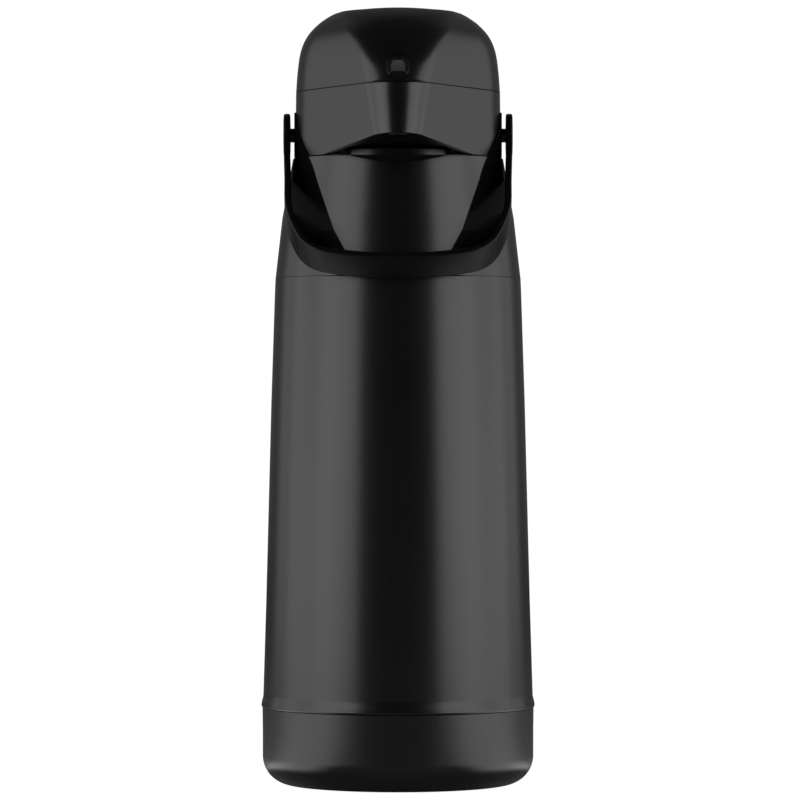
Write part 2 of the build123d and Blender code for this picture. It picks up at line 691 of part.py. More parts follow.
def make_tip_cup():
    """Small cup that guards the flask's sealed tip."""
    return ring(CUP_OUTER, CUP_INNER, LINER_FLOOR, FLASK_BOTTOM - 1)


def make_neck_gasket():
    """Rubber gasket between flask lip and neck ring."""
    return ring(FLASK_NECK_OUTER, MOUTH_RADIUS, FLASK_LIP, FLASK_LIP + GASKET_THICKNESS)


def make_parts():
    """Every sub-part by node name."""
    return {
        "base_cup": make_base_cup(),
        "foot_pads": foot_cylinders(),
        "body_shell": make_body_shell(),
        "collar": make_collar(),
        "pivot_pins": make_pivot_pins(),
        "bail_handle": make_bail(),
        "head_shell": make_head_shell(),
        "hinge_pin": make_hinge_pin(),
        "liner_outer_wall": make_flask_wall(FLASK_OUTER, FLASK_NECK_OUTER, FLASK_BOTTOM),
        "liner_inner_wall": make_flask_wall(FLASK_INNER, FLASK_NECK_INNER + GLASS, FLASK_BOTTOM + FLASK_SPACE),
        "liner_cushion": make_liner_cushion(),
        "liner_tip_cup": make_tip_cup(),
        "neck_gasket": make_neck_gasket(),
        "neck_ring": make_neck_ring(),
        "dip_tube": make_dip_tube(),
        "pour_elbow": make_pour_elbow(),
        "pour_tube": make_pour_tube(),
        "tube_seal": make_tube_seal(),
        "spout_nozzle": make_spout_nozzle(),
        "lid_shell": make_lid_shell(),
        "lid_floor": make_lid_floor(),
        "lid_gasket": make_lid_gasket(),
        "lid_screws": make_lid_screws(),
        "air_valve": make_air_valve(),
        "bellows": make_bellows(),
        "return_spring": make_return_spring(),
        "plunger": make_plunger(),
        "push_button": make_push_button(),
        "latch_key": make_latch(),
        "latch_spring": make_latch_spring(),
    }


os.makedirs("parts", exist_ok=True)
for name, shape in make_parts().items():
    solids = []
    for piece in shape if isinstance(shape, list) else [shape]:
        solids += piece.solids()
    export_step(solids[0] if len(solids) == 1 else Compound(solids), f"parts/{name}.step")
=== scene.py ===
import json
from math import asin, cos, pi, radians, sin, sqrt
import bmesh
import bpy
from mathutils import Matrix, Vector


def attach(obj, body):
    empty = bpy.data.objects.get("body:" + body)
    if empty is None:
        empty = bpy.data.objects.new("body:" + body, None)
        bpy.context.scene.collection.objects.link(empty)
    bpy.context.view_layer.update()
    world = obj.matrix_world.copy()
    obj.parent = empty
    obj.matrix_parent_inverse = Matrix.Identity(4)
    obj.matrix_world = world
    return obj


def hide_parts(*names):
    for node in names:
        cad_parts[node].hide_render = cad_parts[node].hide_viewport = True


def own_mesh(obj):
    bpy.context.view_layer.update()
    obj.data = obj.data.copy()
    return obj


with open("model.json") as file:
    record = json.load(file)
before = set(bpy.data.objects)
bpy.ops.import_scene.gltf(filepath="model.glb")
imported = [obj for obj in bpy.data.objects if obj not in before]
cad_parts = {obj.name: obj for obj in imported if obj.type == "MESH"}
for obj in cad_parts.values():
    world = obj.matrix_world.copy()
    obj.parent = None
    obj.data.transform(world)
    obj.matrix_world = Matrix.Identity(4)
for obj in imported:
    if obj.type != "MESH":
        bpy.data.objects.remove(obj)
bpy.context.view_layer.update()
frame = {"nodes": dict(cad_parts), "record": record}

MM = 0.001

# Driving sizes of the outer form, in metres
BASE_TOP = 37.3 * MM
SEAM_GAP = 0.16 * MM
SEAM_RISE = 0.24 * MM
BASE_RADIUS = 66.0 * MM
BASE_WAIST = 65.9 * MM
BASE_ROUNDING = 14.0 * MM
BASE_FLOOR = 4.4 * MM
REST_RING = 42.0 * MM
REST_DEPTH = 2.0 * MM
BASE_SHOULDER = 26.0 * MM
WAIST_SWELL = 0.02 * MM
SEAM_SWELL = 0.05 * MM
BEAD_RADIUS = 66.58 * MM
BEAD_HEIGHT = 38.4 * MM
BEAD_ROUND = 0.9 * MM
FLARE_START = 0.3 * MM
FLARE_TOP = 44.0 * MM
SHELL_WALL = 2.4 * MM
COLLAR_SEAM = 246.0 * MM
SEAM_EDGE = 0.2 * MM
AXIS_HOLE = 0.2 * MM

# Ends of the bead's arc in turns of pi, and steps along the round forms
BEAD_ARC = (-0.2, 0.1)
BEAD_STEPS = 8
FLARE_STEPS = 12
BODY_STEPS = 40
ROUNDING_STEPS = 40
HOLLOW_STEPS = 20

# Feet, and radius and height along the body, in millimetres
FOOT_CIRCLE = 45.5
FOOT_POCKET = 4.52
BODY_OUTLINE = [(65.6, 44.0), (64.2, 89.0), (61.7, 187.0), (59.8, 245.0), (59.66, 246.24)]

# Facets around round forms, and the bevel of small pieces in millimetres
ROUND_STEPS = 192
ROD_SIDES = 64
BALL_SIDES = 64
BALL_RINGS = 48
BEVEL = 0.5
BEVEL_STEPS = 3

# Head and lid, in millimetres. A section is its height, rear radius, reach of the nose and nose radius
SPLIT = 336.2
LID_GAP = 0.22
LID_TOP = 374.6
HEAD_SECTIONS = [(300.0, 50.0, 89.2, 13.0), (318.1, 49.9, 87.6, 15.5), (SPLIT, 49.7, 84.5, 18.0)]
LID_SECTIONS = [
    (SPLIT, 49.7, 84.5, 18.0),
    (347.0, 48.9, 77.5, 22.0),
    (356.5, 47.4, 68.0, 27.0),
    (363.5, 44.4, 59.0, 30.0),
    (369.0, 39.6, 50.5, 29.0),
    (372.6, 34.8, 43.5, 29.0),
    (LID_TOP, 31.2, 38.5, 28.5),
]
WALL = 2.4
EDGE_ROUND = 0.12

# Steps around a plan section and up through the sections, and the angle in radians of a crisp edge
REAR_STEPS = 96
FLANK_STEPS = 24
NOSE_STEPS = 64
LID_STEPS = 60
HEAD_STEPS = 16
SHARP_ANGLE = 0.6

# Button well and inner face of the lid, in millimetres
BUTTON_RADIUS = 30.4
BUTTON_GAP = 0.4
WELL_DEPTH = 22.0
WELL_WALL = 1.8
LID_ROOF = 4.5
INNER_ABOVE = 3.0
INNER_BELOW = 5.0
INNER_DROP = 1.0

# Share of the way through the head's sections at which its lower edge lies
HEAD_START = 0.12

# Thumb latch, in millimetres: its oval with the cuts' reach along Y, its scoop and its tongue
THUMB_MIDDLE = 344.0
THUMB_WIDE = 5.4
THUMB_TALL = 7.2
THUMB_GAP = 0.2
THUMB_FRONT = -100.0
SLOT_BACK = -55.0
KEY_BACK = -68.0
SCOOP_AHEAD = 80.5
SCOOP_SIZE = (6.6, 8.0, 9.0)
LATCH_INSET = 0.15
TONGUE_HALF = 4.4
TONGUE_FRONT = -80.5
TONGUE_BACK = -78.5
TONGUE_LOW = 330.2
TONGUE_HIGH = 341.5

# Lower edge, floor, mouth and nozzle of the head, in millimetres. The slope is rise over reach
HEAD_LOW = 304.5
BEAK_START = 38.5
BEAK_SLOPE = 0.155
FLOOR_RECESS = 2.6
FLOOR_THICKNESS = 2.0
MOUTH_RADIUS = 34.2
NOZZLE_PLACE = 74.0
NOZZLE_HOLE = 5.5
HOLE_BELOW = 10
HOLE_ABOVE = 20
NOZZLE_FOOT = 312.6
NOZZLE_STEP = 313.6
NOZZLE_TOP = 323.5
NOZZLE_BORE = 3.6
NOZZLE_NARROW = 5.3
NOZZLE_WIDE = 6.5
NOZZLE_ROOF = 2.0
NOZZLE_FOOT_ROUND = 0.4
NOZZLE_TOP_ROUND = 0.5

# Lid hinge, in millimetres
HINGE_BACK = 54.2
HINGE_RADIUS = 4.0
HINGE_INNER = 9.4
HINGE_OUTER = 20.0
HINGE_LID_HALF = 9.0
HEAD_WEB_FRONT = 46.2
LID_WEB_FRONT = 48.2
WEB_BEHIND = 1.5
WEB_TALL = 9.5

# Plastics and metals: colour, roughness, shine, and the wear and grain in them
BLACK = (0.0035, 0.0035, 0.0037)
SATIN_ROUGH = 0.27
SATIN_SHINE = 0.5
MOULD_GRAIN = 700.0
METAL_GRAIN = 900.0
METAL_BUMP = 0.03
WEAR_SCALE = 14.0
WEAR_DETAIL = 3.0
WEAR_ROUGH = 0.03
WEAR_DARK = 0.9
WEAR_PALE = 1.1
GRAIN_DETAIL = 2.0
RELIEF_DEPTH = 0.0002

# Painted shade on the cheeks beside the shield: their shine is turned down where the bail and shield shade
# them. Heights, half widths and fades are in metres, and the curve is a power
CHEEK_FOOT = 0.252
CHEEK_BEND = 0.2681
CHEEK_TOP = 0.305
SHIELD_FOOT_HALF = 0.022
SHIELD_BEND_HALF = 0.0305
SHIELD_TOP_HALF = 0.043
CHEEK_EDGE = (-0.0001, 0.0003)
CHEEK_LOW = 0.2525
CHEEK_LIFT = 0.0255
CHEEK_SPAN = 0.053
CHEEK_CURVE = 6.0
CHEEK_FADE = 0.003
CHEEK_BACK = 0.012
CHEEK_SHINE = 0.01

# Pump, in millimetres: foot and top of the bellows, its folds, and the return spring's coil
BELLOWS_LOW = 339.1
BELLOWS_HIGH = 363.6
BELLOWS_FOLDS = 5
BELLOWS_STEPS = 60
BELLOWS_MIDDLE = 24.4
BELLOWS_SWING = 1.6
BELLOWS_WALL = 1.0
SPRING_CURLS = 7
SPRING_RADIUS = 12.0
SPRING_WIRE = 0.9
CURL_STEPS = 40
WIRE_SIDES = 12

# Bail: pivot height, fold in degrees, half width to the strap's middle, share that the arms lean in,
# and the arcs of its path, each with its radius, its last angle in degrees and its steps
PIVOT_HEIGHT = 315.7
BAIL_DROP = 44.0
BAIL_HALF = 54.1
BAIL_START = 4.6
BAIL_LEAN = 0.022
ARM_END = 48.4
ARM_STEPS = 12
BAIL_ARCS = [(75.0, 25.0, 12), (18.0, 77.0, 16), (154.7, 90.0, 14)]
STRAP_HALF = 1.6
STRAP_WIDE = 7.25
STRAP_ROUND = 0.9
STRAP_EDGE_STEPS = 6
EYE_RADIUS = 10.6
EYE_BORE = 3.45

# Camera and stage, in metres, with the lens and the sensor in millimetres
CAMERA_DISTANCE = 2.3
CAMERA_HEIGHT = 0.18685
CAMERA_SIDE = 0.00095
LENS = 212.4
SENSOR = 36.0
BOX_SIDE = 1.5
BOX_FOOT = 0.02
BOX_TOP = 1.8
# Front edge, back edge and brightness of the soft boxes at each side
SOFT_BOXES = [(-2.14, -0.4, 2.3), (-0.4, 0.55, 1.5), (0.55, 1.3, 0.7)]
STAGE_HALF = 6.0
BACKDROP = 3.5
BACKDROP_FOOT = -0.1
BACKDROP_TOP = 5.0
FLOOR_DROP = 0.0002
# Where the floor turns white for the camera, a little dimmer near the object as painted shade, and its
# painted glow for glossy rays by direction and by distance: bright beside the object, faint ahead and
# behind, with a painted shadow at the object's foot
NEAR_FLOOR = 0.2
FAR_FLOOR = 0.6
SIDE_AIM = (0.62, 0.82)
FRONT_AIM = (-0.1, 0.45)
REAR_SHARE = 0.1
FOOT_SHADE = (0.074, 0.084)
FOOT_SHARE = 0.02
# Surface of floor and backdrop, and the grey of the world
STAGE_GREY = (0.3, 0.3, 0.3, 1)
STAGE_ROUGH = 0.9
WORLD_GREY = (0.02, 0.02, 0.02, 1)


def link(obj):
    """Puts a new object in the scene."""
    bpy.context.scene.collection.objects.link(obj)
    return obj


def smooth_mesh(name, bm):
    """A smooth-shaded object from a bmesh."""
    mesh = bpy.data.meshes.new(name)
    bmesh.ops.recalc_face_normals(bm, faces=bm.faces)
    bm.to_mesh(mesh)
    bm.free()
    for polygon in mesh.polygons:
        polygon.use_smooth = True
    return link(bpy.data.objects.new(name, mesh))


def lathe(name, profile):
    """A closed body of revolution from radius and height pairs."""
    bm = bmesh.new()
    rings = []
    for radius, height in profile:
        ring = []
        for step in range(ROUND_STEPS):
            angle = 2 * pi * step / ROUND_STEPS
            ring.append(bm.verts.new((radius * cos(angle), radius * sin(angle), height)))
        rings.append(ring)
    for low, high in zip(rings, rings[1:] + rings[:1]):
        for step in range(ROUND_STEPS):
            after = (step + 1) % ROUND_STEPS
            bm.faces.new((low[step], low[after], high[after], high[step]))
    return smooth_mesh(name, bm)


def arc(centre, radius, start, end, steps):
    """Points of an arc in the profile plane, angles in turns of pi."""
    points = []
    for step in range(steps + 1):
        angle = pi * (start + (end - start) * step / steps)
        points.append((centre[0] + radius * cos(angle), centre[1] + radius * sin(angle)))
    return points


def outline_radius(height):
    """Radius of the round body at a height."""
    mm = height / MM
    for (r0, z0), (r1, z1) in zip(BODY_OUTLINE, BODY_OUTLINE[1:]):
        if mm <= z1:
            return (r0 + (r1 - r0) * (mm - z0) / (z1 - z0)) * MM
    return BODY_OUTLINE[-1][0] * MM


def blend_rows(rows, place):
    """Smooth curve through rows of numbers, at a place from 0 to the last row's index."""
    index = min(int(place), len(rows) - 2)
    t = place - index
    before = rows[max(index - 1, 0)]
    here = rows[index]
    after = rows[index + 1]
    beyond = rows[min(index + 2, len(rows) - 1)]
    result = []
    for a, b, c, d in zip(before, here, after, beyond):
        bend = 2 * a - 5 * b + 4 * c - d
        twist = 3 * b - a - 3 * c + d
        result.append(0.5 * (2 * b + (c - a) * t + bend * t**2 + twist * t**3))
    return result


def plan_ring(rear, reach, nose, inset=0.0):
    """Points of one plan section: round rear, straight flanks and round nose, in millimetres."""
    centre = reach - nose
    tilt = asin((rear - nose) / centre)
    rear_r = rear - inset
    nose_r = nose - inset
    points = []
    for step in range(REAR_STEPS):
        angle = -tilt + (pi + 2 * tilt) * step / REAR_STEPS
        points.append((rear_r * cos(angle), rear_r * sin(angle)))
    start = (-rear_r * cos(tilt), -rear_r * sin(tilt))
    end = (-nose_r * cos(tilt), -centre - nose_r * sin(tilt))
    for step in range(FLANK_STEPS):
        share = step / FLANK_STEPS
        points.append((start[0] + share * (end[0] - start[0]), start[1] + share * (end[1] - start[1])))
    for step in range(NOSE_STEPS):
        angle = pi + tilt + (pi - 2 * tilt) * step / NOSE_STEPS
        points.append((nose_r * cos(angle), -centre + nose_r * sin(angle)))
    for step in range(FLANK_STEPS):
        share = 1 - step / FLANK_STEPS
        points.append((-start[0] - share * (end[0] - start[0]), start[1] + share * (end[1] - start[1])))
    return points


def circle_ring(radius, like):
    """A circle whose points lie in the directions of another ring's points."""
    points = []
    for x, y in like:
        size = sqrt(x * x + y * y)
        points.append((radius * x / size, radius * y / size))
    return points


def stack(name, rings):
    """A closed smooth body from rings of points in millimetres, the last joined to the first."""
    bm = bmesh.new()
    rows = [[bm.verts.new((x * MM, y * MM, z * MM)) for x, y, z in ring] for ring in rings]
    count = len(rings[0])
    for low, high in zip(rows, rows[1:] + rows[:1]):
        for step in range(count):
            after = (step + 1) % count
            bm.faces.new((low[step], low[after], high[after], high[step]))
    return smooth_mesh(name, bm)


def level(ring, height):
    """A ring at one height."""
    return [(x, y, height) for x, y in ring]


def cut(piece, cutters, operation="DIFFERENCE"):
    """Cuts solids out of a piece, or keeps what they share, with smooth shading and crisp edges."""
    for cutter in cutters:
        modifier = piece.modifiers.new("cut", "BOOLEAN")
        modifier.operation = operation
        modifier.solver = "EXACT"
        modifier.object = cutter
    bpy.context.view_layer.update()
    graph = bpy.context.evaluated_depsgraph_get()
    mesh = bpy.data.meshes.new_from_object(piece.evaluated_get(graph))
    piece.modifiers.clear()
    piece.data = mesh
    for cutter in cutters:
        bpy.data.objects.remove(cutter)
    sharpen(piece)
    return piece


def sharpen(piece):
    """Smooth shading with crisp edges."""
    for polygon in piece.data.polygons:
        polygon.use_smooth = True
    piece.data.set_sharp_from_angle(angle=SHARP_ANGLE)


def block(name, low, high):
    """A box from two corners in millimetres."""
    bm = bmesh.new()
    bmesh.ops.create_cube(bm, size=1.0)
    for vert in bm.verts:
        vert.co = Vector([((a + b) / 2 + v * (b - a)) * MM for a, b, v in zip(low, high, vert.co)])
    return smooth_mesh(name, bm)


def rod(name, low, high, place, radius, axis):
    """A cylinder along X or Z from two places on its axis, in millimetres."""
    bm = bmesh.new()
    bmesh.ops.create_cone(bm, cap_ends=True, segments=ROD_SIDES, radius1=radius * MM,
                          radius2=radius * MM, depth=(high - low) * MM)
    middle = (low + high) / 2 * MM
    for vert in bm.verts:
        x, y, z = vert.co
        if axis == "X":
            vert.co = (z + middle, place[0] * MM + y, place[1] * MM + x)
        else:
            vert.co = (x + place[0] * MM, y + place[1] * MM, z + middle)
    return smooth_mesh(name, bm)


def make_lid(material):
    """The domed lid with its button well, thumb slot and thickness, standing for the CAD shell."""
    low = SPLIT + LID_GAP
    outer = []
    last = len(LID_SECTIONS) - 1
    for step in range(LID_STEPS + 1):
        place = last * step / LID_STEPS
        z, rear, reach, nose = blend_rows(LID_SECTIONS, place)
        outer.append((max(z, low), rear, reach, nose))
    rings = [level(plan_ring(*outer[0][1:], EDGE_ROUND), low)]
    rings.append(level(plan_ring(*outer[0][1:]), low + EDGE_ROUND))
    rings += [level(plan_ring(*row[1:]), row[0]) for row in outer if row[0] > low + 2 * EDGE_ROUND]
    top = plan_ring(*outer[-1][1:])
    rings.append(level(circle_ring(BUTTON_RADIUS + BUTTON_GAP + EDGE_ROUND, top), LID_TOP))
    rings.append(level(circle_ring(BUTTON_RADIUS + BUTTON_GAP, top), LID_TOP - EDGE_ROUND))
    rings.append(level(circle_ring(BUTTON_RADIUS + BUTTON_GAP, top), LID_TOP - WELL_DEPTH))
    rings.append(level(circle_ring(BUTTON_RADIUS + BUTTON_GAP + WELL_WALL, top), LID_TOP - WELL_DEPTH))
    rings.append(level(circle_ring(BUTTON_RADIUS + BUTTON_GAP + WELL_WALL, top), LID_TOP - LID_ROOF))
    inner = [row for row in outer if low + INNER_ABOVE < row[0] < LID_TOP - INNER_BELOW]
    rings += [level(plan_ring(*row[1:], WALL), row[0] - INNER_DROP) for row in reversed(inner)]
    rings.append(level(plan_ring(*outer[0][1:], WALL), low))
    piece = stack("lid_dome", rings)
    cut(piece, [thumb_oval("slot", THUMB_GAP, THUMB_FRONT, SLOT_BACK)])
    return finish_piece(piece, material, "lid", "lid_shell")


def thumb_oval(name, grow, front, back):
    """An oval prism along Y in the nose of the lid."""
    piece = rod(name, front, back, (0, 0), 1.0, "Z")
    for vert in piece.data.vertices:
        x, y, z = vert.co / MM
        vert.co = (x * (THUMB_WIDE + grow) * MM, z * MM, (THUMB_MIDDLE - y * (THUMB_TALL + grow)) * MM)
    piece.data.update()
    return piece


def make_latch(material):
    """The thumb latch: an oval key with a scooped face and a tongue, standing for the CAD key."""
    key = thumb_oval("thumb_key", 0.0, THUMB_FRONT, KEY_BACK)
    body = lid_solid("latch_form", LATCH_INSET)
    scoop = ball("scoop", (0, -SCOOP_AHEAD, THUMB_MIDDLE), SCOOP_SIZE)
    cut(key, [body], "INTERSECT")
    cut(key, [scoop])
    finish_piece(key, material, "latch", "latch_key")
    low = (-TONGUE_HALF, TONGUE_FRONT, TONGUE_LOW)
    high = (TONGUE_HALF, TONGUE_BACK, TONGUE_HIGH)
    tongue = bevelled(block("latch_tongue", low, high))
    return finish_piece(tongue, material, "latch")


def ball(name, centre, size):
    """An ellipsoid from its centre and three half sizes in millimetres."""
    bm = bmesh.new()
    bmesh.ops.create_uvsphere(bm, u_segments=BALL_SIDES, v_segments=BALL_RINGS, radius=1.0)
    for vert in bm.verts:
        vert.co = Vector([(c + v * h) * MM for c, v, h in zip(centre, vert.co, size)])
    return smooth_mesh(name, bm)


def lid_solid(name, inset):
    """A closed solid in the lid's outer form."""
    last = len(LID_SECTIONS) - 1
    rows = [blend_rows(LID_SECTIONS, last * step / LID_STEPS) for step in range(LID_STEPS + 1)]
    rings = [level(plan_ring(*row[1:], inset), row[0]) for row in rows]
    like = plan_ring(*rows[0][1:])
    rings.append(level(circle_ring(1.0, like), LID_TOP))
    rings.append(level(circle_ring(1.0, like), SPLIT))
    return stack(name, rings)


def make_nozzle(material):
    """Spout nozzle inside the beak, with its outlet just above the beak's edge."""
    low = NOZZLE_FOOT * MM
    step = NOZZLE_STEP * MM
    high = NOZZLE_TOP * MM
    bore = NOZZLE_BORE * MM
    narrow = NOZZLE_NARROW * MM
    wide = NOZZLE_WIDE * MM
    foot_round = NOZZLE_FOOT_ROUND * MM
    top_round = NOZZLE_TOP_ROUND * MM
    ceiling = high - NOZZLE_ROOF * MM
    profile = [(bore, low), (narrow - foot_round, low), (narrow, low + foot_round)]
    profile += [(narrow, step), (wide, step)]
    profile += [(wide, high - top_round), (wide - top_round, high), (AXIS_HOLE, high)]
    profile += [(AXIS_HOLE, ceiling), (bore, ceiling)]
    piece = lathe("nozzle", profile)
    piece.data.transform(Matrix.Translation((0, -NOZZLE_PLACE * MM, 0)))
    sharpen(piece)
    return finish_piece(piece, material, "root", "spout_nozzle", slot="inner_plastic")


def make_pump_springs(rubber, steel):
    """Bellows and return spring, both riding with the lid."""
    bellows = bellows_folds()
    finish_piece(bellows, rubber, "lid", "bellows", slot="rubber")
    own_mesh(bellows)
    spring = return_coil()
    finish_piece(spring, steel, "lid", "return_spring", slot="steel")
    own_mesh(spring)


def bellows_folds():
    """The folded tube between the lid's floor and the plunger."""
    outside = []
    for step in range(BELLOWS_STEPS + 1):
        share = step / BELLOWS_STEPS
        radius = BELLOWS_MIDDLE - BELLOWS_SWING * cos(2 * pi * BELLOWS_FOLDS * share)
        outside.append((radius, BELLOWS_LOW + share * (BELLOWS_HIGH - BELLOWS_LOW)))
    inside = [(radius - BELLOWS_WALL, height) for radius, height in reversed(outside)]
    return lathe("bellows_folds", [(r * MM, z * MM) for r, z in outside + inside])


def return_coil():
    """The return spring's wire, one unbroken helix inside the bellows."""
    bm = bmesh.new()
    rows = []
    count = SPRING_CURLS * CURL_STEPS
    low = BELLOWS_LOW + SPRING_WIRE
    climb = BELLOWS_HIGH - SPRING_WIRE - low
    for step in range(count + 1):
        turn = 2 * pi * SPRING_CURLS * step / count
        ring = []
        for side in range(WIRE_SIDES):
            angle = 2 * pi * side / WIRE_SIDES
            radius = SPRING_RADIUS + SPRING_WIRE * cos(angle)
            height = low + climb * step / count + SPRING_WIRE * sin(angle)
            ring.append(bm.verts.new((radius * cos(turn) * MM, radius * sin(turn) * MM, height * MM)))
        rows.append(ring)
    for before, beyond in zip(rows, rows[1:]):
        for side in range(WIRE_SIDES):
            after = (side + 1) % WIRE_SIDES
            bm.faces.new((before[side], before[after], beyond[after], beyond[side]))
    bm.faces.new(rows[0])
    bm.faces.new(rows[-1])
    return smooth_mesh("return_coil", bm)


def beak_low(ring, raise_by):
    """The ring's points on the rising lower edge of the beak."""
    points = []
    for x, y in ring:
        points.append((x, y, HEAD_LOW + raise_by + BEAK_SLOPE * max(0.0, -y - BEAK_START)))
    return points


def make_head(material):
    """The pouring head with its beak and recessed floor, standing for the CAD shell."""
    first = HEAD_SECTIONS[0]
    foot = beak_low(plan_ring(*first[1:], EDGE_ROUND), 0.0)
    rings = [foot, beak_low(plan_ring(*first[1:]), EDGE_ROUND)]
    count = len(HEAD_SECTIONS) - 1
    for step in range(1, HEAD_STEPS + 1):
        share = step / HEAD_STEPS
        middle = blend_rows(HEAD_SECTIONS, count * (HEAD_START + (1 - HEAD_START) * share))
        ring = plan_ring(*middle[1:])
        low_edge = beak_low(ring, EDGE_ROUND)
        rings.append([(x, y, z + (SPLIT - EDGE_ROUND - z) * share) for x, y, z in low_edge])
    last = HEAD_SECTIONS[-1][1:]
    rings.append(level(plan_ring(*last, EDGE_ROUND), SPLIT))
    rings.append(level(plan_ring(*last, WALL), SPLIT))
    inner = plan_ring(*first[1:], WALL)
    rings.append(beak_low(inner, FLOOR_RECESS + FLOOR_THICKNESS))
    hole = circle_ring(MOUTH_RADIUS, inner)
    rings.append(level(hole, HEAD_LOW + FLOOR_RECESS + FLOOR_THICKNESS))
    rings.append(level(hole, HEAD_LOW + FLOOR_RECESS))
    rings.append(beak_low(inner, FLOOR_RECESS))
    rings.append(beak_low(inner, 0.0))
    piece = stack("head_beak", rings)
    low = HEAD_LOW - HOLE_BELOW
    high = HEAD_LOW + HOLE_ABOVE
    cut(piece, [rod("nozzle_hole", low, high, (0, -NOZZLE_PLACE), NOZZLE_HOLE, "Z")])
    return finish_piece(piece, material, "root", "head_shell")


def make_knuckles(material):
    """Hinge knuckles with their webs: two on the head, one on the lid."""
    rear = HINGE_BACK + WEB_BEHIND
    for side in (-1, 1):
        low, high = sorted((side * HINGE_INNER, side * HINGE_OUTER))
        name = "hinge_knuckle_left" if side < 0 else "hinge_knuckle_right"
        knuckle = rod(name, low, high, (HINGE_BACK, SPLIT), HINGE_RADIUS, "X")
        finish_piece(bevelled(knuckle), material, "root")
        web = block(name + "_web", (low, HEAD_WEB_FRONT, SPLIT - WEB_TALL), (high, rear, SPLIT - LID_GAP))
        finish_piece(bevelled(web), material, "root")
    half = HINGE_LID_HALF
    knuckle = rod("lid_knuckle", -half, half, (HINGE_BACK, SPLIT), HINGE_RADIUS, "X")
    finish_piece(bevelled(knuckle), material, "lid")
    web = block("lid_knuckle_web", (-half, LID_WEB_FRONT, SPLIT + LID_GAP), (half, rear, SPLIT + WEB_TALL))
    finish_piece(bevelled(web), material, "lid")


def bevelled(piece):
    """Rounds a small piece's edges."""
    modifier = piece.modifiers.new("round", "BEVEL")
    modifier.width = BEVEL * MM
    modifier.segments = BEVEL_STEPS
    modifier.limit_method = "ANGLE"
    sharpen(piece)
    return piece


def math_node(tree, operation, first, second):
    """A maths node on two sockets, or on a socket and a number."""
    node = tree.nodes.new("ShaderNodeMath")
    node.operation = operation
    for place, value in enumerate((first, second)):
        if isinstance(value, float):
            node.inputs[place].default_value = value
        else:
            tree.links.new(value, node.inputs[place])
    return node.outputs[0]


def ramp(tree, value, start, end, low, high):
    """A straight ramp from one level to another as a value grows."""
    node = tree.nodes.new("ShaderNodeMapRange")
    node.inputs["From Min"].default_value = start
    node.inputs["From Max"].default_value = end
    node.inputs["To Min"].default_value = low
    node.inputs["To Max"].default_value = high
    tree.links.new(value, node.inputs["Value"])
    return node.outputs["Result"]


def bail_path():
    """Centre line of the bail in its plane, from the right eye over the crown to the left eye.

    The first arc leaves out its own start, and each later one repeats the end of the one before.
    """
    arm = ARM_END - BAIL_START
    points = [(BAIL_HALF, BAIL_START + arm * step / ARM_STEPS) for step in range(ARM_STEPS)]
    u, v = BAIL_HALF, ARM_END
    first = 0.0
    start = 1
    for radius, last, steps in BAIL_ARCS:
        for step in range(start, steps + 1):
            a = radians(first + (last - first) * step / steps)
            b = radians(first)
            points.append((u - radius * (cos(b) - cos(a)), v + radius * (sin(a) - sin(b))))
        u, v = points[-1]
        first = last
        start = 0
    right = []
    for u, v in points:
        share = min(v / ARM_END, 1.0)
        right.append((u * (1 - BAIL_LEAN * share * share * (3 - 2 * share)), v))
    return right + [(-u, v) for u, v in reversed(right[:-1])]


def make_bail(material):
    """The strap bail with rounded edges and its two eyes, standing for the CAD bail."""
    path = bail_path()
    turn = radians(BAIL_DROP)
    bm = bmesh.new()
    rows = []
    for place, (u, v) in enumerate(path):
        before = path[max(place - 1, 0)]
        after = path[min(place + 1, len(path) - 1)]
        du, dv = after[0] - before[0], after[1] - before[1]
        size = sqrt(du * du + dv * dv)
        across = (dv / size, -du / size)
        ring = []
        for n, w in strap_section():
            x = u + n * across[0]
            reach = v + n * across[1]
            y = -reach * cos(turn) - w * sin(turn)
            z = PIVOT_HEIGHT - reach * sin(turn) + w * cos(turn)
            ring.append(bm.verts.new((x * MM, y * MM, z * MM)))
        rows.append(ring)
    count = len(rows[0])
    for low, high in zip(rows, rows[1:]):
        for step in range(count):
            after = (step + 1) % count
            bm.faces.new((low[step], low[after], high[after], high[step]))
    bm.faces.new(rows[0])
    bm.faces.new(rows[-1])
    strap = smooth_mesh("bail_strap", bm)
    sharpen(strap)
    finish_piece(strap, material, "bail", "bail_handle")
    for side in (-1, 1):
        inner = EYE_BORE * MM
        outer = EYE_RADIUS * MM
        edge = STRAP_ROUND * MM
        near = (BAIL_HALF - STRAP_HALF) * MM
        far = (BAIL_HALF + STRAP_HALF) * MM
        profile = [(inner, near)] + arc((outer - edge, near + edge), edge, -0.5, 0.0, STRAP_EDGE_STEPS)
        profile += arc((outer - edge, far - edge), edge, 0.0, 0.5, STRAP_EDGE_STEPS) + [(inner, far)]
        eye = lathe("bail_eye_left" if side < 0 else "bail_eye_right", profile)
        lift = Matrix.Translation((0, 0, PIVOT_HEIGHT * MM))
        eye.data.transform(lift @ Matrix.Rotation(side * pi / 2, 4, "Y"))
        sharpen(eye)
        finish_piece(eye, material, "bail")


def strap_section():
    """Points of the strap's rounded section: through its thickness and across its width."""
    points = []
    for n, w, first in ((1, 1, 0.0), (-1, 1, 0.5), (-1, -1, 1.0), (1, -1, 1.5)):
        centre = (n * (STRAP_HALF - STRAP_ROUND), w * (STRAP_WIDE - STRAP_ROUND))
        points += arc(centre, STRAP_ROUND, first, first + 0.5, STRAP_EDGE_STEPS)
    return points


